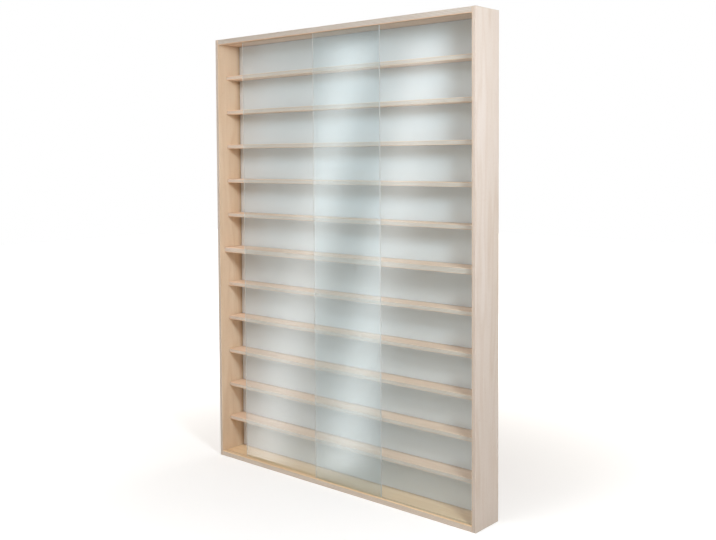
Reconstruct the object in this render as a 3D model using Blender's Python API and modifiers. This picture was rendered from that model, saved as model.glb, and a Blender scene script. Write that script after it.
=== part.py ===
"""Wall display cabinet: a shallow birch plywood case with eleven shelves, a white
back panel and two full-height glass panes that slide in grooved tracks.

Metres, +Z up. The front faces -Y and the wall is at +Y. The origin is the middle
of the bottom face. Every length is a real size of the cabinet.
"""
import math

import bmesh
import bpy
from mathutils import Matrix, Vector

MM = 0.001

# Driving sizes of the case
CASE_WIDTH = 740 * MM
CASE_HEIGHT = 1000 * MM
CASE_DEPTH = 80 * MM
SIDE_THICKNESS = 9 * MM
BOARD_THICKNESS = 12 * MM      # top, bottom and middle boards
SHELF_THICKNESS = 9 * MM
THIN_SHELF_COUNT = 5           # above the middle shelf, and as many below it
EASED_EDGE = 0.6 * MM          # sanded arrises
FIT_GAP = 0.3 * MM             # clearance between pieces that touch
OVERRUN = 5 * MM               # how far a cutter runs past what it cuts

# Sliding glass and its tracks, measured from the front face
PANE_THICKNESS = 3 * MM
PANE_WIDTH = 415 * MM
PANE_EDGE_CHAMFER = 0.4 * MM
TRACK_FRONT_LIP = 3.2 * MM
TRACK_WEB = 2 * MM             # wood left between the two grooves
LOWER_GROOVE_DEPTH = 3 * MM
UPPER_GROOVE_DEPTH = 7 * MM    # deep enough to lift a pane out of the lower one
PANE_LIFT = 4 * MM             # room above a pane for lifting it out
PANE_END_PLAY = 0.5 * MM       # pane to side board when pushed home
REAR_PANE_OPEN = 75 * MM       # how far the left pane stands open

# Shelves, measured from the front face
MIDDLE_SHELF_SETBACK = 13.2 * MM
SHELF_SETBACK = 25 * MM
HOUSING_DEPTH = 3 * MM         # grooves routed in the sides for the shelf ends
CORNER_NOTCH = 10 * MM         # shelf's front corners that hide the housing's end

# Back panel in its groove
PANEL_THICKNESS = 3 * MM
PANEL_INSET = 9 * MM           # from the rear plane to the panel
PANEL_GROOVE_DEPTH = 3.5 * MM

# Dowels that join top and bottom boards to the sides
DOWEL_RADIUS = 3 * MM
DOWEL_IN_SIDE = 5.5 * MM
DOWEL_IN_BOARD = 24 * MM
DOWEL_CHAMFER = 0.6 * MM
DOWEL_FRONT_SETBACK = 24 * MM
DOWEL_REAR_SETBACK = 26 * MM   # from the rear plane

# Keyhole hanger plates let into the top board's rear edge
HANGER_END_DISTANCE = 120 * MM  # from the case's outer side to a plate's middle
HANGER_WIDTH = 50 * MM
HANGER_HEIGHT = 38 * MM
HANGER_THICKNESS = 1.5 * MM
HANGER_TOP_MARGIN = 1.5 * MM
HANGER_CORNER = 3 * MM
KEYHOLE_RADIUS = 4.5 * MM
KEYHOLE_SLOT_RADIUS = 2.3 * MM
KEYHOLE_SLOT_LENGTH = 8 * MM
KEYHOLE_LOWER_MARGIN = 10 * MM  # from the plate's lower edge to the round hole's centre
SCREW_SPACING = 34 * MM

# Countersunk wood screws that hold the hanger plates
SCREW_LENGTH = 16 * MM
SCREW_SHANK_RADIUS = 1.5 * MM
SCREW_HEAD_RADIUS = 3 * MM
SCREW_HEAD_HEIGHT = 1.2 * MM
SCREW_TIP_LENGTH = 3 * MM
SCREW_TIP_RADIUS = 0.2 * MM

# Counts for round shapes
ROUND_SIDES = 24
NOSE_SEGMENTS = 6
EDGE_SEGMENTS = 2
NOSE_SHARE = 0.96              # of a housing's half height that its end is rounded by
MERGE_DISTANCE = 0.01 * MM     # points of a turned shape that meet on its axis

# Sizes that follow from the ones above
INNER_WIDTH = CASE_WIDTH - 2 * SIDE_THICKNESS
BOARD_LENGTH = INNER_WIDTH - 2 * FIT_GAP
FRONT = -CASE_DEPTH / 2
REAR = CASE_DEPTH / 2
LOWER_FACE = BOARD_THICKNESS
UPPER_FACE = CASE_HEIGHT - BOARD_THICKNESS
SHELF_COUNT = 2 * THIN_SHELF_COUNT + 1
SHELF_STOCK = 2 * THIN_SHELF_COUNT * SHELF_THICKNESS + BOARD_THICKNESS
CLEAR_HEIGHT = (UPPER_FACE - LOWER_FACE - SHELF_STOCK) / (SHELF_COUNT + 1)
GROOVE_WIDTH = PANE_THICKNESS + 2 * FIT_GAP
FRONT_GROOVE = FRONT + TRACK_FRONT_LIP
REAR_GROOVE = FRONT_GROOVE + GROOVE_WIDTH + TRACK_WEB
GROOVE_FLOOR = LOWER_FACE - LOWER_GROOVE_DEPTH
GROOVE_CEILING = UPPER_FACE + UPPER_GROOVE_DEPTH
PANE_BOTTOM = GROOVE_FLOOR + FIT_GAP
PANE_TOP = GROOVE_CEILING - PANE_LIFT
PANEL_REAR = REAR - PANEL_INSET
PANEL_FRONT = PANEL_REAR - PANEL_THICKNESS
PANEL_WIDTH = INNER_WIDTH + 2 * (PANEL_GROOVE_DEPTH - FIT_GAP)
PANEL_TOP = UPPER_FACE + PANEL_GROOVE_DEPTH - FIT_GAP
PANEL_BOTTOM = LOWER_FACE - PANEL_GROOVE_DEPTH + FIT_GAP
SHELF_REAR = PANEL_FRONT - FIT_GAP
SHELF_LENGTH = INNER_WIDTH + 2 * (HOUSING_DEPTH - FIT_GAP)

for old in list(bpy.data.objects):
    bpy.data.objects.remove(old, do_unlink=True)

cabinet = bpy.data.collections.new("wall_display_cabinet")
cutters = bpy.data.collections.new("cutters")
bpy.context.scene.collection.children.link(cabinet)
bpy.context.scene.collection.children.link(cutters)


def material(name, colour, roughness, metallic=0.0, transmission=0.0):
    """A Principled material with one colour."""
    made = bpy.data.materials.new(name)
    made.use_nodes = True
    shader = made.node_tree.nodes["Principled BSDF"]
    shader.inputs["Base Color"].default_value = (*colour, 1.0)
    shader.inputs["Roughness"].default_value = roughness
    shader.inputs["Metallic"].default_value = metallic
    shader.inputs["Transmission Weight"].default_value = transmission
    made.diffuse_color = (*colour, 1.0)
    return made


birch = material("birch_plywood", (0.68, 0.53, 0.40), 0.55)
beech = material("beech_dowel", (0.60, 0.42, 0.27), 0.6)
white_board = material("white_coated_hardboard", (0.72, 0.74, 0.74), 0.35)
glass = material("float_glass", (0.80, 0.90, 0.88), 0.05, transmission=0.9)
zinc = material("zinc_plated_steel", (0.62, 0.63, 0.64), 0.35, metallic=1.0)


def place(mesh, name, centre, finish=None):
    """Puts a mesh in the cabinet, or among the cutters when it has no finish."""
    made = bpy.data.objects.new(name, mesh)
    made.location = centre
    if finish is None:
        cutters.objects.link(made)
        made.hide_render = True
        made.display_type = "WIRE"
    else:
        cabinet.objects.link(made)
        mesh.materials.append(finish)
    return made


def box(name, corner, opposite, finish=None, eased=None, segments=EDGE_SEGMENTS,
        radius=EASED_EDGE):
    """A box between two opposite corners. eased is a test that picks the edges to
    round: it takes an edge's middle, in box shares from -0.5 to 0.5."""
    corner = Vector(corner)
    opposite = Vector(opposite)
    size = Vector([abs(length) for length in opposite - corner])
    bm = bmesh.new()
    bmesh.ops.create_cube(bm, size=1.0)
    chosen = []
    if eased is not None:
        for edge in bm.edges:
            if eased((edge.verts[0].co + edge.verts[1].co) / 2):
                chosen.append(edge)
    bmesh.ops.scale(bm, vec=size, verts=bm.verts)
    if chosen:
        bmesh.ops.bevel(bm, geom=chosen, offset=radius, segments=segments,
                        profile=0.5, affect="EDGES")
    mesh = bpy.data.meshes.new(name)
    bm.to_mesh(mesh)
    bm.free()
    return place(mesh, name, (corner + opposite) / 2, finish)


def front_long(middle):
    """Picks the two front edges that run along X."""
    return middle.y < -0.4 and abs(middle.z) > 0.4 and abs(middle.x) < 0.1


def long_edge(middle):
    """Picks all four edges that run along X."""
    return abs(middle.x) < 0.1


def left_side_edge(middle):
    """Picks every edge of the left side but the two that meet top and bottom board."""
    return middle.x < 0.4 or abs(middle.z) < 0.4


def right_side_edge(middle):
    """Picks every edge of the right side but the two that meet top and bottom board."""
    return middle.x > -0.4 or abs(middle.z) < 0.4


def plate_corner(middle):
    """Picks the four edges of an upright plate that run along Y."""
    return abs(middle.x) > 0.4 and abs(middle.z) > 0.4


def any_edge(middle):
    """Picks every edge."""
    return True


def rod(name, centre, radius, length, axis, finish=None, chamfer=0.0, stretch=0.0):
    """A round rod or hole cutter centred on a point, along axis 'X' or 'Y'. stretch
    moves its lower half down by that much, which makes the outline of a slot."""
    bm = bmesh.new()
    bmesh.ops.create_cone(bm, cap_ends=True, segments=ROUND_SIDES, radius1=radius,
                          radius2=radius, depth=length)
    if chamfer:
        rims = [edge for edge in bm.edges
                if abs(edge.verts[0].co.z - edge.verts[1].co.z) < length / 2]
        bmesh.ops.bevel(bm, geom=rims, offset=chamfer, segments=1, affect="EDGES")
    if stretch:
        half_step = Matrix.Rotation(math.pi / ROUND_SIDES, 3, "Z")
        bmesh.ops.rotate(bm, matrix=half_step, verts=bm.verts)
        lower = [vert for vert in bm.verts if vert.co.y < 0]
        bmesh.ops.translate(bm, vec=(0, -stretch, 0), verts=lower)
    turn = Matrix.Rotation(math.pi / 2, 3, "Y" if axis == "X" else "X")
    bmesh.ops.rotate(bm, matrix=turn, verts=bm.verts)
    mesh = bpy.data.meshes.new(name)
    bm.to_mesh(mesh)
    bm.free()
    made = place(mesh, name, centre, finish)
    if finish is not None:
        mesh.shade_smooth()
        mesh.set_sharp_from_angle(angle=math.radians(35))
    return made


def cut(target, cutter, operation="DIFFERENCE"):
    """An exact Boolean that stays on the piece."""
    step = target.modifiers.new(cutter.name, "BOOLEAN")
    step.operation = operation
    step.solver = "EXACT"
    step.object = cutter


# Side boards, full height, with all their routing done by the cutters below
left_side = box("left_side",
                (-CASE_WIDTH / 2, FRONT, 0),
                (-INNER_WIDTH / 2, REAR, CASE_HEIGHT), birch, left_side_edge)
right_side = box("right_side",
                 (INNER_WIDTH / 2, FRONT, 0),
                 (CASE_WIDTH / 2, REAR, CASE_HEIGHT), birch, right_side_edge)
sides = ((-1, "left", left_side), (1, "right", right_side))

# Top and bottom boards butt between the sides
top_board = box("top_board",
                (-BOARD_LENGTH / 2, FRONT, UPPER_FACE),
                (BOARD_LENGTH / 2, REAR, CASE_HEIGHT), birch, long_edge)
bottom_board = box("bottom_board",
                   (-BOARD_LENGTH / 2, FRONT, 0),
                   (BOARD_LENGTH / 2, REAR, LOWER_FACE), birch, long_edge)
ends = (("top", top_board, CASE_HEIGHT - BOARD_THICKNESS / 2),
        ("bottom", bottom_board, BOARD_THICKNESS / 2))


def shelf(name, bottom, thickness, setback):
    """A shelf in stopped housings: its ends run into the sides, and its notched
    front corners cover the rounded ends that the router leaves."""
    front = FRONT + setback
    board = box(name, (-SHELF_LENGTH / 2, front, bottom),
                (SHELF_LENGTH / 2, SHELF_REAR, bottom + thickness), birch, front_long)
    half_height = thickness / 2 + FIT_GAP
    nose = front + CORNER_NOTCH - FIT_GAP - half_height
    for sign, side_name, side in sides:
        housing = box(f"{name}_housing_{side_name}",
                      (sign * (INNER_WIDTH / 2 - OVERRUN), nose, bottom - FIT_GAP),
                      (sign * (INNER_WIDTH / 2 + HOUSING_DEPTH), PANEL_FRONT + OVERRUN / 2,
                       bottom + thickness + FIT_GAP),
                      eased=front_long, segments=NOSE_SEGMENTS,
                      radius=half_height * NOSE_SHARE)
        cut(side, housing)
        notch = box(f"{name}_notch_{side_name}",
                    (sign * BOARD_LENGTH / 2, front - OVERRUN, bottom - OVERRUN),
                    (sign * (SHELF_LENGTH / 2 + OVERRUN), front + CORNER_NOTCH,
                     bottom + thickness + OVERRUN))
        cut(board, notch)


# Shelves, from the bottom up; the middle one is thicker and reaches the glass
height = LOWER_FACE
for number in range(1, SHELF_COUNT + 1):
    height += CLEAR_HEIGHT
    if number == THIN_SHELF_COUNT + 1:
        shelf("middle_shelf", height, BOARD_THICKNESS, MIDDLE_SHELF_SETBACK)
        height += BOARD_THICKNESS
    else:
        shelf(f"shelf_{number:02d}", height, SHELF_THICKNESS, SHELF_SETBACK)
        height += SHELF_THICKNESS

# Back panel, held in a groove on all four sides
back_panel = box("back_panel",
                 (-PANEL_WIDTH / 2, PANEL_FRONT, PANEL_BOTTOM),
                 (PANEL_WIDTH / 2, PANEL_REAR, PANEL_TOP), white_board)
panel_groove = box("panel_groove",
                   (-PANEL_WIDTH / 2 - FIT_GAP, PANEL_FRONT - FIT_GAP, PANEL_BOTTOM - FIT_GAP),
                   (PANEL_WIDTH / 2 + FIT_GAP, PANEL_REAR + FIT_GAP, PANEL_TOP + FIT_GAP))
for board in (left_side, right_side, top_board, bottom_board):
    cut(board, panel_groove)

# Glass tracks: two grooves in the bottom board and two deeper ones in the top
for name, groove_front in (("front_track", FRONT_GROOVE), ("rear_track", REAR_GROOVE)):
    track = box(name,
                (-INNER_WIDTH / 2 - OVERRUN, groove_front, GROOVE_FLOOR),
                (INNER_WIDTH / 2 + OVERRUN, groove_front + GROOVE_WIDTH, GROOVE_CEILING))
    cut(top_board, track)
    cut(bottom_board, track)


def pane(name, groove_front, left_edge):
    """One sheet of float glass with a fine polished arris all round."""
    return box(name,
               (left_edge, groove_front + FIT_GAP, PANE_BOTTOM),
               (left_edge + PANE_WIDTH, groove_front + FIT_GAP + PANE_THICKNESS, PANE_TOP),
               glass, any_edge, segments=1, radius=PANE_EDGE_CHAMFER)


# The right pane runs in the front track and stands home at the right, the left
# pane runs in the rear track and stands a little open
front_pane = pane("front_pane", FRONT_GROOVE, INNER_WIDTH / 2 - PANE_END_PLAY - PANE_WIDTH)
rear_pane = pane("rear_pane", REAR_GROOVE,
                 -INNER_WIDTH / 2 + PANE_END_PLAY + REAR_PANE_OPEN)

# Dowels at the four corners, two in each
dowel_length = DOWEL_IN_SIDE + DOWEL_IN_BOARD
dowel_depths = {"front": FRONT + DOWEL_FRONT_SETBACK, "rear": REAR - DOWEL_REAR_SETBACK}
for sign, side_name, side in sides:
    middle = sign * (INNER_WIDTH / 2 + (DOWEL_IN_SIDE - DOWEL_IN_BOARD) / 2)
    for board_name, board, level in ends:
        for depth_name, depth in dowel_depths.items():
            name = f"dowel_{board_name}_{side_name}_{depth_name}"
            rod(name, (middle, depth, level), DOWEL_RADIUS, dowel_length, "X", beech,
                DOWEL_CHAMFER)
            hole = rod(name + "_hole", (middle, depth, level), DOWEL_RADIUS + FIT_GAP,
                       dowel_length + 2 * FIT_GAP, "X")
            cut(side, hole)
            cut(board, hole)


def turned(name, outline, location, finish=None):
    """A body turned about Y: outline lists (radius, distance from the head's face)
    and runs from the axis at the face to the axis at the tip."""
    mesh = bpy.data.meshes.new(name)
    points = [(radius, -along, 0.0) for radius, along in outline]
    edges = [(index, index + 1) for index in range(len(points) - 1)]
    mesh.from_pydata(points, edges, [])
    made = place(mesh, name, location, finish)
    spin = made.modifiers.new("turning", "SCREW")
    spin.axis = "Y"
    spin.steps = ROUND_SIDES
    spin.render_steps = ROUND_SIDES
    spin.use_merge_vertices = True
    spin.merge_threshold = MERGE_DISTANCE
    spin.use_smooth_shade = finish is not None
    return made


def wood_screw(name, location):
    """A countersunk wood screw whose head's face is at the location."""
    taper = SCREW_HEAD_HEIGHT + SCREW_HEAD_RADIUS - SCREW_SHANK_RADIUS
    outline = [(0.0, 0.0), (SCREW_HEAD_RADIUS, 0.0),
               (SCREW_HEAD_RADIUS, SCREW_HEAD_HEIGHT / 4),
               (SCREW_SHANK_RADIUS, taper),
               (SCREW_SHANK_RADIUS, SCREW_LENGTH - SCREW_TIP_LENGTH),
               (SCREW_TIP_RADIUS, SCREW_LENGTH), (0.0, SCREW_LENGTH)]
    turned(name, outline, location, zinc)
    wide = [(0.0, -OVERRUN), (SCREW_HEAD_RADIUS + FIT_GAP, -OVERRUN),
            (SCREW_HEAD_RADIUS + FIT_GAP, SCREW_HEAD_HEIGHT / 4 + FIT_GAP),
            (SCREW_SHANK_RADIUS + FIT_GAP, taper + FIT_GAP),
            (SCREW_SHANK_RADIUS + FIT_GAP, SCREW_LENGTH + FIT_GAP),
            (0.0, SCREW_LENGTH + FIT_GAP)]
    return turned(name + "_hole", wide, location)


def hanger(name, centre_x):
    """A keyhole plate let flush into the top board's rear edge. Its keyhole hangs
    below the board, where the back panel's inset leaves room for the wall screw."""
    top = CASE_HEIGHT - HANGER_TOP_MARGIN
    low = (centre_x - HANGER_WIDTH / 2, REAR - HANGER_THICKNESS, top - HANGER_HEIGHT)
    high = (centre_x + HANGER_WIDTH / 2, REAR, top)
    plate = box(name, low, high, zinc, plate_corner, radius=HANGER_CORNER,
                segments=NOSE_SEGMENTS)
    recess = box(name + "_recess",
                 (low[0] - FIT_GAP, low[1] - FIT_GAP, low[2] - FIT_GAP),
                 (high[0] + FIT_GAP, high[1] + OVERRUN, high[2] + FIT_GAP))
    cut(top_board, recess)
    hole_height = low[2] + KEYHOLE_LOWER_MARGIN
    slot_height = hole_height + KEYHOLE_SLOT_LENGTH
    depth = REAR - HANGER_THICKNESS / 2
    through = HANGER_THICKNESS + 2 * OVERRUN
    cut(plate, rod(name + "_keyhole", (centre_x, depth, hole_height), KEYHOLE_RADIUS,
                   through, "Y"))
    cut(plate, rod(name + "_slot", (centre_x, depth, slot_height), KEYHOLE_SLOT_RADIUS,
                   through, "Y", stretch=KEYHOLE_SLOT_LENGTH))
    screw_height = (UPPER_FACE + top) / 2
    for side_name, offset in (("left", -SCREW_SPACING / 2), ("right", SCREW_SPACING / 2)):
        hole = wood_screw(f"{name}_screw_{side_name}", (centre_x + offset, REAR, screw_height))
        cut(plate, hole)
        cut(top_board, hole)


hanger("hanger_left", HANGER_END_DISTANCE - CASE_WIDTH / 2)
hanger("hanger_right", CASE_WIDTH / 2 - HANGER_END_DISTANCE)
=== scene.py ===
import bpy
import numpy as np
from math import radians
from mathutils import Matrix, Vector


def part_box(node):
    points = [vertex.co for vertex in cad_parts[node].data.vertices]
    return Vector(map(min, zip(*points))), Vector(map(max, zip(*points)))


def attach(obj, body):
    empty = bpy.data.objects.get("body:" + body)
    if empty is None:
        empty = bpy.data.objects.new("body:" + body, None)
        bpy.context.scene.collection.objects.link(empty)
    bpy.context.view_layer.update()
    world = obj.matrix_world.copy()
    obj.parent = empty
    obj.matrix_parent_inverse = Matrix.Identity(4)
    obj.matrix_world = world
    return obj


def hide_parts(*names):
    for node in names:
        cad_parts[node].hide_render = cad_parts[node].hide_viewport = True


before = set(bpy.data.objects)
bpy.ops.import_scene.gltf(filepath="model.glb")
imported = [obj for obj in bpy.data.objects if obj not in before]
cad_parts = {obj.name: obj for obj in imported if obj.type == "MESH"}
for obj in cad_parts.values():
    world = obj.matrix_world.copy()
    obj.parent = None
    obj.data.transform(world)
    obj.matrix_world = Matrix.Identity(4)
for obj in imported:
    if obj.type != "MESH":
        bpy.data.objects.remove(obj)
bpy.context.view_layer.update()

# Side boards
# Two upright boards of 9 mm birch plywood, sanded and left raw, with the face grain running up
# them. Housings routed into their inner faces take the shelves, and dowels the other boards.

MM = 0.001
THIN_BOARD_PLIES = 7

# Leaves outside, their darker figure, leaves inside (painted warmer to stand in for light bounced
# between the wood faces), their darker figure, and end grain
SIDE_BIRCH = ("#DED1C6", "#D7C8BA", "#ECD5BA", "#E6CBAD", "#AEA193")
BIRCH_GROWTH_TINT = "#EFE5DA"
BIRCH_PORE_TINT = "#D8C3AE"
# Painted shade: the tint that darkens the inside plies toward the back panel
BIRCH_PAINTED_CORNER_TINT = "#C4B8AE"
BIRCH_GLUE_LINE = "#8C6B4E"

# Length along the grain, width across it, and the noise's detail
BIRCH_FIGURE = (420 * MM, 46 * MM, 2.0)
BIRCH_STREAK = (90 * MM, 2.4 * MM, 3.0)
# A real birch pore is a tenth of a millimetre wide, drawn five times as wide to show
BIRCH_PORE_SIZE = (7 * MM, 0.5 * MM, 1.0)
BIRCH_GROWTH_LINES = 7.0
# How far in front of the back panel the painted corner shade reaches
PAINTED_CORNER_REACH = 16 * MM
BOARD_END_DEPTH = 0.4 * MM
GLUE_SHARE_OF_PLY = 0.1
OUTER_PLY_MARGIN = 0.2
LEAF_SEED_STEP = 20.0
RAW_WOOD_SPECULAR = 0.35
BIRCH_RELIEF = {"Strength": 0.25, "Distance": 0.2 * MM}

# What a Map Range node takes: a pattern's range, and then what it gives at the two ends of that.
# A shade gives how strongly its colour shows there.
RANGE = ("From Min", "From Max", "To Min", "To Max")
FIGURE_SHADE = (0.35, 0.65, 0.0, 1.0)
GROWTH_LINE_SHADE = (0.0, 0.35, 0.35, 0.0)
STREAK_SHADE = (0.5, 0.8, 0.0, 0.35)
PORE_SHADE = (0.62, 0.78, 0.0, 0.8)
PAINTED_CORNER_SHADE = (0.0, 1.0, 0.0, 1.0)
END_GRAIN_SHADE = (0.0, 1.0, 0.0, 0.8)
GLUE_LINE_SHADE = (0.0, GLUE_SHARE_OF_PLY, 0.7, 0.0)
BIRCH_ROUGHNESS = (0.3, 0.7, 0.52, 0.66)


def colour(code):
    """An sRGB hex colour as linear light: each share v becomes v / 12.92 up to 0.04045, and
    ((v + 0.055) / 1.055) to the power 2.4 above that."""
    shares = [int(code[at:at + 2], 16) / 255 for at in (1, 3, 5)]
    return (*(v / 12.92 if v <= 0.04045 else ((v + 0.055) / 1.055) ** 2.4 for v in shares), 1.0)


def add(tree, kind, links, **settings):
    """One shader node: links gives each input a value or another node's output, and the
    settings are the node's own properties."""
    node = tree.nodes.new(kind)
    for name, value in settings.items():
        setattr(node, name, value)
    for place, value in links.items():
        if isinstance(value, bpy.types.NodeSocket):
            tree.links.new(value, node.inputs[place])
        else:
            node.inputs[place].default_value = value
    return node


def finish(name, **settings):
    """A new material's node tree and its Principled shader, with the shader's constants set."""
    made = bpy.data.materials.new(name)
    made.use_nodes = True
    shader = made.node_tree.nodes["Principled BSDF"]
    for socket, value in settings.items():
        shader.inputs[socket.replace("_", " ")].default_value = value
    return made, made.node_tree, shader


def birch_plywood(node, plies, upright, leaf, bounce_painted_plies, birch):
    """Raw birch plywood, peeled and glued in crossed plies, then sanded: pale, matt and closely
    figured on the faces, with striped edges where every second ply shows its end grain. Each
    ply is a leaf of its own tone. Those turned to the inside of the case are painted warmer,
    standing in for warm light bounced between the wood faces. They are also painted darker
    toward the back panel, a painted shade standing in for the shade in the corner there.

    A point's ply is the whole part of its depth through the board over a ply's thickness. Odd
    plies have their grain across the board, so along and across trade places there. A growth
    line is where a slow noise, times the number of lines, passes a whole number. The painted
    corner shade grows with the square of the way through its reach."""
    low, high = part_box(node)
    centre, size = (low + high) / 2, high - low
    length, thickness = (size.z, size.x) if upright else (size.x, size.z)
    made, tree, shader = finish("birch_plywood_" + node, Specular_IOR_Level=RAW_WOOD_SPECULAR)
    coordinates = add(tree, "ShaderNodeTexCoord", {})
    if upright:
        place = {"Location": (-centre.z, -centre.y, centre.x), "Rotation": (0, radians(90), 0)}
    else:
        place = {"Location": -centre}
    board = add(tree, "ShaderNodeMapping", {"Vector": coordinates.outputs["Object"], **place})
    axes = add(tree, "ShaderNodeSeparateXYZ", {0: board.outputs[0]}).outputs

    reach = thickness * (0.5 - OUTER_PLY_MARGIN / plies)
    ply_range = (-reach, reach, OUTER_PLY_MARGIN, plies - OUTER_PLY_MARGIN)
    depth = add(tree, "ShaderNodeMapRange", {
        "Value": axes[2], **dict(zip(RANGE, ply_range))}).outputs[0]
    ply = add(tree, "ShaderNodeMath", {0: depth}, operation="FLOOR").outputs[0]
    crossed = add(tree, "ShaderNodeMath", {0: ply, 1: 2.0}, operation="MODULO").outputs[0]
    from_joint = add(tree, "ShaderNodeMath", {0: depth, 1: 0.5}, operation="PINGPONG").outputs[0]
    from_middle = add(tree, "ShaderNodeMath", {0: axes[0]}, operation="ABSOLUTE").outputs[0]
    at_end = add(tree, "ShaderNodeMath", {0: from_middle, 1: length / 2 - BOARD_END_DEPTH},
                 operation="GREATER_THAN").outputs[0]
    unlike = add(tree, "ShaderNodeMath", {0: crossed, 1: at_end}, operation="SUBTRACT")
    end_grain = add(tree, "ShaderNodeMath", {0: unlike.outputs[0]}, operation="ABSOLUTE").outputs[0]

    turned = add(tree, "ShaderNodeCombineXYZ", {0: axes[1], 1: axes[0], 2: axes[2]})
    grain = add(tree, "ShaderNodeMix", {0: crossed, 4: board.outputs[0], 5: turned.outputs[0]},
                data_type="VECTOR").outputs[1]
    seed = add(tree, "ShaderNodeMath", {0: ply, 1: leaf * LEAF_SEED_STEP},
               operation="ADD").outputs[0]
    noises = []
    for along, across, detail in (BIRCH_FIGURE, BIRCH_STREAK, BIRCH_PORE_SIZE):
        stretched = add(tree, "ShaderNodeVectorMath", {
            0: grain, 1: (1 / along, 1 / across, 1 / across)}, operation="MULTIPLY")
        noises.append(add(tree, "ShaderNodeTexNoise", {
            "Vector": stretched.outputs[0], "W": seed, "Scale": 1.0, "Detail": detail},
            noise_dimensions="4D").outputs[0])
    figure, streak, pore = noises
    contour = add(tree, "ShaderNodeMath", {0: figure, 1: BIRCH_GROWTH_LINES},
                  operation="MULTIPLY").outputs[0]
    from_line = add(tree, "ShaderNodeMath", {0: contour, 1: 0.5}, operation="PINGPONG").outputs[0]

    # Painted light: the inside plies get warmer tones, standing in for warm light bounced between
    # the wood faces
    painted_bounce = 0.0
    for number in bounce_painted_plies:
        is_it = add(tree, "ShaderNodeMath", {0: ply, 1: float(number), 2: 0.5},
                    operation="COMPARE").outputs[0]
        painted_bounce = add(tree, "ShaderNodeMath", {0: is_it, 1: painted_bounce}, operation="ADD").outputs[0]
    # Painted shade: the inside plies darken toward the back panel, standing in for the shade in the
    # corner there
    panel_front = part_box("back_panel")[0].y - centre.y
    painted_shade = add(tree, "ShaderNodeMapRange", {
        "Value": axes[1], "From Min": panel_front - PAINTED_CORNER_REACH, "From Max": panel_front})
    painted_shade = add(tree, "ShaderNodeMath", {0: painted_shade.outputs[0], 1: 2.0}, operation="POWER")
    painted_shade = add(tree, "ShaderNodeMath", {0: painted_shade.outputs[0], 1: painted_bounce},
                 operation="MULTIPLY").outputs[0]

    # The inside tones carry the painted warm bounce light
    outer_leaf, outer_figure, inner_leaf, inner_figure, fibre_ends = birch
    plain_tone, figured_tone = [
        add(tree, "ShaderNodeMix", {0: painted_bounce, 6: colour(outer), 7: colour(inner)},
            data_type="RGBA").outputs[2]
        for outer, inner in ((outer_leaf, inner_leaf), (outer_figure, inner_figure))]
    cloud = add(tree, "ShaderNodeMapRange", {"Value": figure, **dict(zip(RANGE, FIGURE_SHADE))})
    tone = add(tree, "ShaderNodeMix", {0: cloud.outputs[0], 6: plain_tone, 7: figured_tone},
               data_type="RGBA").outputs[2]
    shades = (
        (from_line, GROWTH_LINE_SHADE, BIRCH_GROWTH_TINT, "MULTIPLY"),
        (streak, STREAK_SHADE, BIRCH_GROWTH_TINT, "MULTIPLY"),
        (pore, PORE_SHADE, BIRCH_PORE_TINT, "MULTIPLY"),
        (painted_shade, PAINTED_CORNER_SHADE, BIRCH_PAINTED_CORNER_TINT, "MULTIPLY"),
        (end_grain, END_GRAIN_SHADE, fibre_ends, "MIX"),
        (from_joint, GLUE_LINE_SHADE, BIRCH_GLUE_LINE, "MIX"),
    )
    for pattern, ends, shade, way in shades:
        share = add(tree, "ShaderNodeMapRange", {"Value": pattern, **dict(zip(RANGE, ends))})
        tone = add(tree, "ShaderNodeMix", {0: share.outputs[0], 6: tone, 7: colour(shade)},
                   data_type="RGBA", blend_type=way).outputs[2]
    tree.links.new(tone, shader.inputs["Base Color"])
    roughness = add(tree, "ShaderNodeMapRange", {
        "Value": streak, **dict(zip(RANGE, BIRCH_ROUGHNESS))})
    tree.links.new(roughness.outputs[0], shader.inputs["Roughness"])
    height = add(tree, "ShaderNodeMath", {0: streak, 1: pore}, operation="SUBTRACT")
    bump = add(tree, "ShaderNodeBump", {"Height": height.outputs[0], **BIRCH_RELIEF})
    tree.links.new(bump.outputs[0], shader.inputs["Normal"])
    return made


def coat(node, material):
    """Puts a material in every slot of a node's object."""
    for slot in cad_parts[node].material_slots:
        slot.material = material


for leaf, (node, inner_ply) in enumerate((("left_side", 0), ("right_side", THIN_BOARD_PLIES - 1))):
    coat(node, birch_plywood(node, THIN_BOARD_PLIES, True, leaf, (inner_ply,), SIDE_BIRCH))

# Top, bottom and middle boards
# Three level boards of 12 mm birch plywood. The top and bottom ones close the case, doweled
# between the sides, and each has two tracks routed into it in which the panes slide.

THICK_BOARD_PLIES = 9
LAST_THICK_PLY = THICK_BOARD_PLIES - 1
# Each board has its own tones: the birch's colour, painted darker and cooler on the top board and
# lighter on the bottom board and the shelves, standing in for the light that reaches each
TOP_BIRCH_PAINTED_DARKER = ("#D2CBC3", "#CBC2B7", "#E8CAB0", "#E0C0A2", "#B0A698")
BOTTOM_BIRCH_PAINTED_LIGHTER = ("#E2D6C9", "#DCCDBE", "#F8DDB8", "#F0D2A9", "#C7B6A3")
SHELF_BIRCH_PAINTED_LIGHTER = ("#EADDD0", "#E2D3C4", "#F5DAC0", "#EFD0B4", "#CDBCA8")
THICK_BOARDS = (
    ("top_board", (0,), TOP_BIRCH_PAINTED_DARKER),
    ("bottom_board", (LAST_THICK_PLY,), BOTTOM_BIRCH_PAINTED_LIGHTER),
    ("middle_shelf", (0, LAST_THICK_PLY), SHELF_BIRCH_PAINTED_LIGHTER),
)
for leaf, (node, inner_plies, birch) in enumerate(THICK_BOARDS, 2):
    coat(node, birch_plywood(node, THICK_BOARD_PLIES, False, leaf, inner_plies, birch))

# Thin shelves
# Ten shelves of 9 mm birch plywood, five below the middle board and five above it. They slide
# into the sides' housings from the back, and stop short of the glass.

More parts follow.
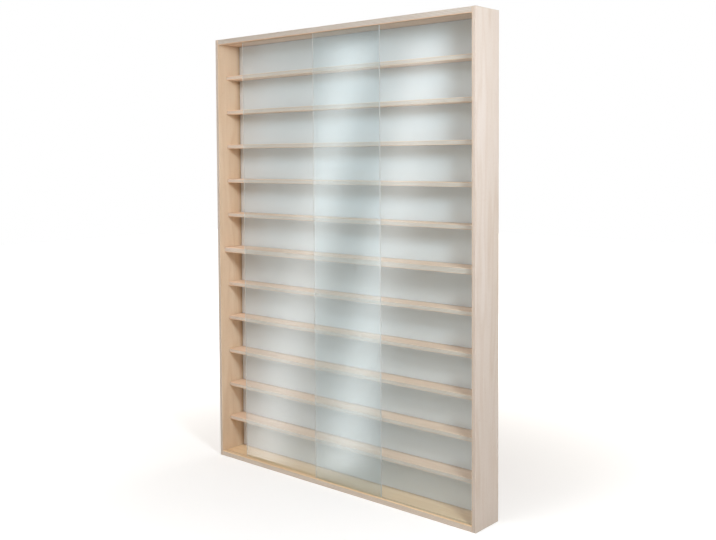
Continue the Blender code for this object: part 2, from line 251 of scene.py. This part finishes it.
THIN_SHELVES = [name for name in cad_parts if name.startswith("shelf_")]
both_faces = (0, THIN_BOARD_PLIES - 1)
for leaf, node in enumerate(sorted(THIN_SHELVES), 5):
    coat(node, birch_plywood(node, THIN_BOARD_PLIES, False, leaf, both_faces, SHELF_BIRCH_PAINTED_LIGHTER))

# Dowels
# Eight turned beech dowels pin the top and bottom boards to the sides. Beech is pinkish tan,
# closely grained, with the short dark flecks of its rays.

BEECH_TAN = "#D9B58E"
BEECH_DEEP = "#C2976C"
BEECH_FLECK = "#94684A"
# Length along the dowel and width across it
BEECH_FIBRE_SIZE = (33 * MM, 1.1 * MM)
BEECH_FLECK_SIZE = (2 * MM, 0.4 * MM)
BEECH_FLECK_SHADE = (0.58, 0.7, 0.0, 0.8)
BEECH_ROUGHNESS = 0.6

beech, tree, shader = finish(
    "turned_beech", Specular_IOR_Level=RAW_WOOD_SPECULAR, Roughness=BEECH_ROUGHNESS)
coordinates = add(tree, "ShaderNodeTexCoord", {}).outputs["Object"]
grains = []
for along, across in (BEECH_FIBRE_SIZE, BEECH_FLECK_SIZE):
    stretched = add(tree, "ShaderNodeMapping", {
        "Vector": coordinates, "Scale": (1 / along, 1 / across, 1 / across)})
    grains.append(add(tree, "ShaderNodeTexNoise", {
        "Vector": stretched.outputs[0], "Scale": 1.0}).outputs[0])
fibre, fleck = grains
tone = add(tree, "ShaderNodeMix", {
    0: fibre, 6: colour(BEECH_TAN), 7: colour(BEECH_DEEP)}, data_type="RGBA")
share = add(tree, "ShaderNodeMapRange", {"Value": fleck, **dict(zip(RANGE, BEECH_FLECK_SHADE))})
tone = add(tree, "ShaderNodeMix", {
    0: share.outputs[0], 6: tone.outputs[2], 7: colour(BEECH_FLECK)}, data_type="RGBA")
tree.links.new(tone.outputs[2], shader.inputs["Base Color"])
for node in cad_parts:
    if node.startswith("dowel_"):
        coat(node, beech)

# Back panel
# One sheet of 3 mm hardboard in a groove round the case. Its front is lacquered white, smooth
# and satin, and its brown back keeps the print of the wire screen that it was pressed on.

LACQUER_WHITE = "#E3E6E5"
LACQUER_GREY = "#DDE1E1"
HARDBOARD_BROWN = "#8A6242"
HARDBOARD_FIBRE = "#6B4A30"
LACQUER_DEPTH = 0.2 * MM
LACQUER_CLOUD_SIZE = 167 * MM
LACQUER_ROUGHNESS = 0.42
HARDBOARD_ROUGHNESS = 0.85
HARDBOARD_FIBRE_SIZE = 4 * MM
HARDBOARD_FIBRE_SHADE = (0.35, 0.65, 0.0, 1.0)
# The lacquer's slight orange peel, and the screen's wires, drawn at twice their real spacing
ORANGE_PEEL_SIZE = 2.5 * MM
ORANGE_PEEL_DEPTH = 0.02 * MM
SCREEN_WIRE_SPACING = 3.2 * MM
SCREEN_PRINT_DEPTH = 0.25 * MM

hardboard, tree, shader = finish("lacquered_hardboard")
coordinates = add(tree, "ShaderNodeTexCoord", {}).outputs["Object"]
axes = add(tree, "ShaderNodeSeparateXYZ", {0: coordinates}).outputs
panel_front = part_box("back_panel")[0].y
bare = add(tree, "ShaderNodeMath", {0: axes[1], 1: panel_front + LACQUER_DEPTH},
           operation="GREATER_THAN").outputs[0]
cloudy = add(tree, "ShaderNodeTexNoise", {
    "Vector": coordinates, "Scale": 1 / LACQUER_CLOUD_SIZE, "Detail": 2.0})
white = add(tree, "ShaderNodeMix", {
    0: cloudy.outputs[0], 6: colour(LACQUER_WHITE), 7: colour(LACQUER_GREY)}, data_type="RGBA")
fibre = add(tree, "ShaderNodeTexNoise", {
    "Vector": coordinates, "Scale": 1 / HARDBOARD_FIBRE_SIZE, "Detail": 6.0, "Distortion": 1.5})
share = add(tree, "ShaderNodeMapRange", {
    "Value": fibre.outputs[0], **dict(zip(RANGE, HARDBOARD_FIBRE_SHADE))})
brown = add(tree, "ShaderNodeMix", {
    0: share.outputs[0], 6: colour(HARDBOARD_BROWN), 7: colour(HARDBOARD_FIBRE)},
    data_type="RGBA")
tone = add(tree, "ShaderNodeMix", {
    0: bare, 6: white.outputs[2], 7: brown.outputs[2]}, data_type="RGBA")
tree.links.new(tone.outputs[2], shader.inputs["Base Color"])
roughness = add(tree, "ShaderNodeMix", {0: bare, 2: LACQUER_ROUGHNESS, 3: HARDBOARD_ROUGHNESS})
tree.links.new(roughness.outputs[0], shader.inputs["Roughness"])
peel = add(tree, "ShaderNodeTexNoise", {"Vector": coordinates, "Scale": 1 / ORANGE_PEEL_SIZE})
wires = []
for axis in (0, 2):
    turn = add(tree, "ShaderNodeMath", {0: axes[axis], 1: 2 * np.pi / SCREEN_WIRE_SPACING},
               operation="MULTIPLY").outputs[0]
    wires.append(add(tree, "ShaderNodeMath", {0: turn}, operation="SINE").outputs[0])
screen = add(tree, "ShaderNodeMath", {0: wires[0], 1: wires[1]}, operation="MULTIPLY")
relief = add(tree, "ShaderNodeMix", {0: bare, 2: peel.outputs[0], 3: screen.outputs[0]})
depth = add(tree, "ShaderNodeMix", {0: bare, 2: ORANGE_PEEL_DEPTH, 3: SCREEN_PRINT_DEPTH})
bump = add(tree, "ShaderNodeBump", {
    "Height": relief.outputs[0], "Distance": depth.outputs[0], "Strength": 1.0})
tree.links.new(bump.outputs[0], shader.inputs["Normal"])
coat("back_panel", hardboard)

# Glass panes
# Two sheets of 3 mm clear float glass with ground edges. The left one slides in the rear track
# and the right one in the front track. Iron in the glass makes it faintly green, and deep
# green where the eye looks along a sheet.

GLASS_CLEAR = "#EBF0F2"
GLASS_GROUND = "#D6D4D0"
GLASS_ABSORBS = "#B9DFD0"
GLASS_DENSITY = 10.0
GLASS_LIGHT_PASSED = "#F9FBFC"
GLASS_INDEX = 1.52
GROUND_EDGE = 0.6 * MM
GROUND_HAZE = 0.75
# The grinding wheel's scratches, drawn about five times their real size
GROUND_GRIT = 0.4 * MM


def any_ray(tree, *kinds):
    """1 for a ray that is of one of the kinds, as Light Path names them, and 0 for the rest."""
    rays = add(tree, "ShaderNodeLightPath", {}).outputs
    found = rays[kinds[0]]
    for kind in kinds[1:]:
        found = add(tree, "ShaderNodeMath", {0: found, 1: rays[kind]},
                    operation="MAXIMUM").outputs[0]
    return found


def float_glass(node):
    """Clear float glass: smooth and mirror-like at a slant, with edges ground to a frosted
    face. Lamps' rays and scattered rays pass straight through, dimmed as real glass dims them.

    A point is on a ground edge where its distance from the pane's middle, across or up, is
    within the edge's width of half the pane's size."""
    made, tree, shader = finish("float_glass_" + node, IOR=GLASS_INDEX)
    low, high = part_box(node)
    centre, half = (low + high) / 2, (high - low) / 2
    coordinates = add(tree, "ShaderNodeTexCoord", {}).outputs["Object"]
    pane = add(tree, "ShaderNodeMapping", {"Vector": coordinates, "Location": -centre})
    near_middle = add(tree, "ShaderNodeVectorMath", {0: pane.outputs[0]}, operation="ABSOLUTE")
    axes = add(tree, "ShaderNodeSeparateXYZ", {0: near_middle.outputs[0]}).outputs
    edges = [add(tree, "ShaderNodeMath", {0: axes[axis], 1: half[axis] - GROUND_EDGE},
                 operation="GREATER_THAN").outputs[0] for axis in (0, 2)]
    edge = add(tree, "ShaderNodeMath", {0: edges[0], 1: edges[1]}, operation="MAXIMUM")
    grit = add(tree, "ShaderNodeTexNoise", {"Vector": coordinates, "Scale": 1 / GROUND_GRIT})
    ground = add(tree, "ShaderNodeMath", {0: edge.outputs[0], 1: grit.outputs[0]},
                 operation="MULTIPLY")
    tree.links.new(ground.outputs[0], shader.inputs["Roughness"])
    tone = add(tree, "ShaderNodeMix", {
        0: edge.outputs[0], 6: colour(GLASS_CLEAR), 7: colour(GLASS_GROUND)}, data_type="RGBA")
    tree.links.new(tone.outputs[2], shader.inputs["Base Color"])
    passed = add(tree, "ShaderNodeMix", {0: edge.outputs[0], 2: 1.0, 3: 1 - GROUND_HAZE})
    tree.links.new(passed.outputs[0], shader.inputs["Transmission Weight"])
    clear = add(tree, "ShaderNodeBsdfTransparent", {0: colour(GLASS_LIGHT_PASSED)})
    passing = any_ray(tree, "Is Shadow Ray", "Is Diffuse Ray")
    both = add(tree, "ShaderNodeMixShader", {
        0: passing, 1: shader.outputs[0], 2: clear.outputs[0]})
    iron = add(tree, "ShaderNodeVolumeAbsorption", {
        "Color": colour(GLASS_ABSORBS), "Density": GLASS_DENSITY})
    output = tree.nodes["Material Output"]
    tree.links.new(both.outputs[0], output.inputs["Surface"])
    tree.links.new(iron.outputs[0], output.inputs["Volume"])
    return made


for node in ("rear_pane", "front_pane"):
    coat(node, float_glass(node))

# Hanger plates
# Two keyhole plates of stamped steel sheet, let into the top board's rear edge. Their zinc
# plating is dull silver with cloudy patches, a little blue from the chromate dip.

ZINC_BRIGHT = "#D6D9DB"
ZINC_CLOUDY = "#AEB6BE"
ZINC_PATCH_SIZE = 6 * MM
ZINC_ROUGHNESS = (0.3, 0.7, 0.28, 0.45)
# The plating's grains, drawn about ten times their real size
ZINC_GRAIN_SIZE = 0.5 * MM
ZINC_RELIEF = {"Strength": 0.2, "Distance": 0.05 * MM}

zinc, tree, shader = finish("zinc_plated_steel", Metallic=1.0)
coordinates = add(tree, "ShaderNodeTexCoord", {}).outputs["Object"]
cloud = add(tree, "ShaderNodeTexNoise", {
    "Vector": coordinates, "Scale": 1 / ZINC_PATCH_SIZE, "Detail": 5.0, "Roughness": 0.6})
tone = add(tree, "ShaderNodeMix", {
    0: cloud.outputs[0], 6: colour(ZINC_BRIGHT), 7: colour(ZINC_CLOUDY)}, data_type="RGBA")
tree.links.new(tone.outputs[2], shader.inputs["Base Color"])
roughness = add(tree, "ShaderNodeMapRange", {
    "Value": cloud.outputs[0], **dict(zip(RANGE, ZINC_ROUGHNESS))})
tree.links.new(roughness.outputs[0], shader.inputs["Roughness"])
grain = add(tree, "ShaderNodeTexNoise", {"Vector": coordinates, "Scale": 1 / ZINC_GRAIN_SIZE})
bump = add(tree, "ShaderNodeBump", {"Height": grain.outputs[0], **ZINC_RELIEF})
tree.links.new(bump.outputs[0], shader.inputs["Normal"])
for node in ("hanger_left", "hanger_right"):
    coat(node, zinc)

# Hanger screws
# Four countersunk wood screws hold the plates, two in each. They are cold-headed and rolled
# from wire: a cross recess in a flat head, a cone under it, and a thread down to the point.

SCREW_LENGTH = 16 * MM
SCREW_HEAD_RADIUS = 2.95 * MM
SCREW_RIM_HEIGHT = 0.3 * MM
SCREW_NECK_DEPTH = 2.7 * MM
SCREW_THREAD_RADIUS = 1.45 * MM
SCREW_CORE_RADIUS = 1.05 * MM
SCREW_TIP_LENGTH = 3 * MM
SCREW_THREAD_PITCH = 1.2 * MM
SCREW_THREAD_RUN_IN = 2.4 * MM
SCREW_POINT_LENGTH = 0.1 * MM
RECESS_REACH = 1.6 * MM
RECESS_HALF_WIDTH = 0.45 * MM
RECESS_DEPTH = 1.2 * MM
RECESS_WALL = 0.25 * MM
SCREW_SECTORS = 48
HEAD_RINGS = 22
SHANK_RINGS = 90
# Share of its full radius that the last ring keeps before a fan closes the mesh
CLOSING_RING = 0.04
SHARP_EDGE = radians(35)


def surface(name, grid, start, end):
    """A closed mesh from a grid of points, rows by sectors by xyz. Each row is a ring round the
    axis, each ring joins the next by quads, and triangles close the first ring on the start
    point and the last ring on the end point."""
    rows, sectors = grid.shape[:2]
    points = np.vstack([grid.reshape(-1, 3), start, end])
    row, sector = np.meshgrid(np.arange(rows - 1), np.arange(sectors), indexing="ij")
    after = (sector + 1) % sectors
    quads = np.stack([row * sectors + sector, (row + 1) * sectors + sector,
                      (row + 1) * sectors + after, row * sectors + after], -1).reshape(-1, 4)
    ring = np.arange(sectors)
    following = (ring + 1) % sectors
    last = (rows - 1) * sectors
    first_fan = np.stack([np.full(sectors, rows * sectors), ring, following], -1)
    last_fan = np.stack([last + following, last + ring, np.full(sectors, rows * sectors + 1)], -1)
    faces = [*quads.tolist(), *first_fan.tolist(), *last_fan.tolist()]
    mesh = bpy.data.meshes.new(name)
    mesh.from_pydata(points.tolist(), [], faces)
    mesh.shade_smooth()
    mesh.set_sharp_from_angle(angle=SHARP_EDGE)
    made = bpy.data.objects.new(name, mesh)
    bpy.context.scene.collection.objects.link(made)
    return made


def wood_screw(name, place):
    """On the head, depth below the face is the recess depth where a point lies inside the cross,
    |u| or |v| under its half width and both under its reach, and falls off over the wall.
    On the shank, radius = core + (thread - core) x the cube of 1 - 2|turn - 1/2|, where turn is
    the fraction of (depth / pitch - angle / 2 pi). The thread rises from the core over its
    run-in, and all of the shank shrinks to a point at the tip."""
    angle = np.arange(SCREW_SECTORS) * 2 * np.pi / SCREW_SECTORS
    out = np.linspace(CLOSING_RING, 1.0, HEAD_RINGS)[:, None] * SCREW_HEAD_RADIUS
    u, v = np.abs(out * np.cos(angle)), np.abs(out * np.sin(angle))
    inside_arm = np.clip((RECESS_HALF_WIDTH - np.minimum(u, v)) / RECESS_WALL + 1, 0, 1)
    inside_end = np.clip((RECESS_REACH - np.maximum(u, v)) / (2 * RECESS_WALL), 0, 1)
    face_depth = RECESS_DEPTH * inside_arm * inside_end
    face_radius = np.broadcast_to(out, face_depth.shape)

    deepest = SCREW_LENGTH - SCREW_POINT_LENGTH
    depth = np.linspace(SCREW_NECK_DEPTH, deepest, SHANK_RINGS)[:, None]
    turn = np.mod(depth / SCREW_THREAD_PITCH - angle / (2 * np.pi), 1.0)
    ridge = (1 - 2 * np.abs(turn - 0.5)) ** 3
    taper = np.clip((SCREW_LENGTH - depth) / SCREW_TIP_LENGTH, CLOSING_RING, 1)
    run_in = np.clip((depth - SCREW_NECK_DEPTH) / SCREW_THREAD_RUN_IN, 0, 1)
    shank = (SCREW_CORE_RADIUS + (SCREW_THREAD_RADIUS - SCREW_CORE_RADIUS) * ridge * run_in) * taper
    rim = np.array([[SCREW_HEAD_RADIUS, SCREW_RIM_HEIGHT]])
    radius = np.vstack([face_radius, np.broadcast_to(rim[:, :1], (1, SCREW_SECTORS)), shank])
    down = np.vstack([face_depth, np.broadcast_to(rim[:, 1:], (1, SCREW_SECTORS)),
                      np.broadcast_to(depth, shank.shape)])
    grid = np.stack([place.x + radius * np.cos(angle), place.y - down,
                     place.z + radius * np.sin(angle)], -1)
    start = (place.x, place.y - RECESS_DEPTH, place.z)
    return surface(name, grid, start, (place.x, place.y - SCREW_LENGTH, place.z))


for node in [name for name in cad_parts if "_screw_" in name]:
    low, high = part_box(node)
    head = (low + high) / 2
    head.y = high.y
    screw = wood_screw(node + "_threaded", head)
    screw.data.materials.append(zinc)
    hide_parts(node)
    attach(screw, "case")

# Studio
# A pale floor, which grows brighter away from the cabinet until it is white, and a slightly warm
# plain level of light. Soft lamps stand near the cabinet's right, low on its left, high in front
# and behind it. Two tall lights far to the left show in the glass as two pale leaning bands.

FLOOR_PALE = "#E4E5E4"
FLOOR_GREY = "#DEDFDF"
FLOOR_MOTTLE_SIZE = 333 * MM
FLOOR_ROUGHNESS = 0.8
FLOOR_REACH = 6.0
# The distances between which the floor turns white, in metres, and its glow at each
FLOOR_GLOW = (0.2, 1.6, 0.36, 1.0)

floor_mesh = bpy.data.meshes.new("floor")
corners = [(FLOOR_REACH * x, FLOOR_REACH * y, 0) for x, y in ((-1, -1), (1, -1), (1, 1), (-1, 1))]
floor_mesh.from_pydata(corners, [], [(0, 1, 2, 3)])
floor = bpy.data.objects.new("floor", floor_mesh)
bpy.context.scene.collection.objects.link(floor)
floor.visible_glossy = False
floor.visible_transmission = False
paper, tree, shader = finish("studio_paper", Roughness=FLOOR_ROUGHNESS)
coordinates = add(tree, "ShaderNodeTexCoord", {}).outputs["Object"]
mottle = add(tree, "ShaderNodeTexNoise", {"Vector": coordinates, "Scale": 1 / FLOOR_MOTTLE_SIZE})
tone = add(tree, "ShaderNodeMix", {
    0: mottle.outputs[0], 6: colour(FLOOR_PALE), 7: colour(FLOOR_GREY)}, data_type="RGBA")
tree.links.new(tone.outputs[2], shader.inputs["Base Color"])
distance = add(tree, "ShaderNodeVectorMath", {0: coordinates}, operation="LENGTH")
glow = add(tree, "ShaderNodeMapRange", {
    "Value": distance.outputs["Value"], **dict(zip(RANGE, FLOOR_GLOW))},
    interpolation_type="SMOOTHSTEP")
seen = any_ray(tree, "Is Camera Ray", "Is Glossy Ray", "Is Transmission Ray")
strength = add(tree, "ShaderNodeMath", {0: glow.outputs[0], 1: seen}, operation="MULTIPLY")
tree.links.new(strength.outputs[0], shader.inputs["Emission Strength"])
shader.inputs["Emission Color"].default_value = (1, 1, 1, 1)
floor_mesh.materials.append(paper)

# The world is white to the eye and in glass and metal, and a plain level of light elsewhere.
# A band's brightness falls off as exp(-(s / width)^2), where s is the sine of the angle from
# the plane that holds it, and both bands end softly at the heights where the lights end.
AMBIENT_STRENGTH = 0.3
AMBIENT_TINT = "#FFE7CB"
BAND_STRENGTH = 1.93
BAND_WIDTH = 0.026
# Normals of the two bands' planes, and a direction on the side of the room where they stand
BAND_PLANES = ((0.717, -0.6644, -0.2111), (0.7709, -0.6056, -0.1975))
BAND_SIDE = (-0.65, -0.75, 0.0)
# Sines of elevation where both bands have gone and where they are whole
BAND_TOP = (0.137, 0.11)
BAND_FOOT = (-0.334, -0.31)

world = bpy.data.worlds.new("studio")
world.use_nodes = True
tree = world.node_tree
tree.nodes.clear()
direction = add(tree, "ShaderNodeTexCoord", {}).outputs["Generated"]
brightness = 0.0
for plane in BAND_PLANES:
    sine = add(tree, "ShaderNodeVectorMath", {0: direction, 1: plane}, operation="DOT_PRODUCT")
    far = add(tree, "ShaderNodeMath", {0: sine.outputs["Value"], 1: 1 / BAND_WIDTH},
              operation="MULTIPLY").outputs[0]
    square = add(tree, "ShaderNodeMath", {0: far, 1: far}, operation="MULTIPLY").outputs[0]
    fall = add(tree, "ShaderNodeMath", {0: square, 1: -1.0}, operation="MULTIPLY").outputs[0]
    band = add(tree, "ShaderNodeMath", {0: fall}, operation="EXPONENT").outputs[0]
    brightness = add(tree, "ShaderNodeMath", {0: band, 1: brightness}, operation="ADD").outputs[0]
height = add(tree, "ShaderNodeSeparateXYZ", {0: direction}).outputs[2]
for gone, whole in (BAND_TOP, BAND_FOOT):
    end = add(tree, "ShaderNodeMapRange", {
        "Value": height, "From Min": gone, "From Max": whole}, interpolation_type="SMOOTHSTEP")
    brightness = add(tree, "ShaderNodeMath", {0: brightness, 1: end.outputs[0]},
                     operation="MULTIPLY").outputs[0]
side = add(tree, "ShaderNodeVectorMath", {0: direction, 1: BAND_SIDE}, operation="DOT_PRODUCT")
facing = add(tree, "ShaderNodeMath", {0: side.outputs["Value"], 1: 0.0}, operation="GREATER_THAN")
factors = (facing.outputs[0], any_ray(tree, "Is Glossy Ray", "Is Transmission Ray"), BAND_STRENGTH)
for factor in factors:
    brightness = add(tree, "ShaderNodeMath", {0: brightness, 1: factor},
                     operation="MULTIPLY").outputs[0]
bands = add(tree, "ShaderNodeMath", {0: brightness, 1: 1.0}, operation="ADD").outputs[0]
seen = any_ray(tree, "Is Camera Ray", "Is Glossy Ray", "Is Transmission Ray")
plain = add(tree, "ShaderNodeBackground", {
    "Strength": AMBIENT_STRENGTH, "Color": colour(AMBIENT_TINT)})
white = add(tree, "ShaderNodeBackground", {"Strength": bands, "Color": (1, 1, 1, 1)})
both = add(tree, "ShaderNodeMixShader", {0: seen, 1: plain.outputs[0], 2: white.outputs[0]})
add(tree, "ShaderNodeOutputWorld", {"Surface": both.outputs[0]})
bpy.context.scene.world = world

LAMP_AIM = (0.2, 0.0, 0.5)
LAMPS = {
    "near_lamp": {"place": (1.2, -0.57, 1.08), "size": 0.3, "power": 13.4, "tint": "#EBF5FF"},
    "side_lamp": {"place": (-1.8, -1.0, 0.4), "size": 1.2, "power": 9.0, "tint": "#E9F8FF"},
    "high_lamp": {"place": (-0.3, -1.8, 2.0), "size": 1.5, "power": 22.0, "tint": "#F8F8FF"},
    "rear_lamp": {"place": (-0.1, 2.3, 0.6), "size": 1.2, "power": 20.0, "tint": "#FFFAF5"},
}


def turned_to(place, aim):
    """The turn that points a lamp's -Z from its place to its aim."""
    return (Vector(aim) - Vector(place)).to_track_quat("-Z", "Y").to_euler()


for name, lamp in LAMPS.items():
    data = bpy.data.lights.new(name, "AREA")
    data.shape = "DISK"
    data.size = lamp["size"]
    data.energy = lamp["power"]
    data.color = colour(lamp["tint"])[:3]
    stand = bpy.data.objects.new(name, data)
    stand.location = lamp["place"]
    stand.rotation_euler = turned_to(lamp["place"], LAMP_AIM)
    stand.visible_camera = False
    stand.visible_glossy = False
    stand.visible_transmission = False
    bpy.context.scene.collection.objects.link(stand)

# Camera
# It stands to the right of the cabinet, a little above its middle, and looks slightly down.
# The small shift keeps the cabinet's uprights as steep as the photograph shows them.

CAMERA_PLACE = (1.3453, -1.4984, 0.7164)
CAMERA_TURN = (radians(87.289), radians(0.323), radians(40.993))
CAMERA_SENSOR_WIDTH = 36.0
CAMERA_LENS = 46.68
CAMERA_SHIFT = -0.094

camera_data = bpy.data.cameras.new("camera")
camera_data.sensor_width = CAMERA_SENSOR_WIDTH
camera_data.lens = CAMERA_LENS
camera_data.shift_y = CAMERA_SHIFT
camera = bpy.data.objects.new("camera", camera_data)
camera.location = CAMERA_PLACE
camera.rotation_euler = CAMERA_TURN
bpy.context.scene.collection.objects.link(camera)
bpy.context.scene.camera = camera
bpy.context.scene.view_settings.view_transform = "Standard"
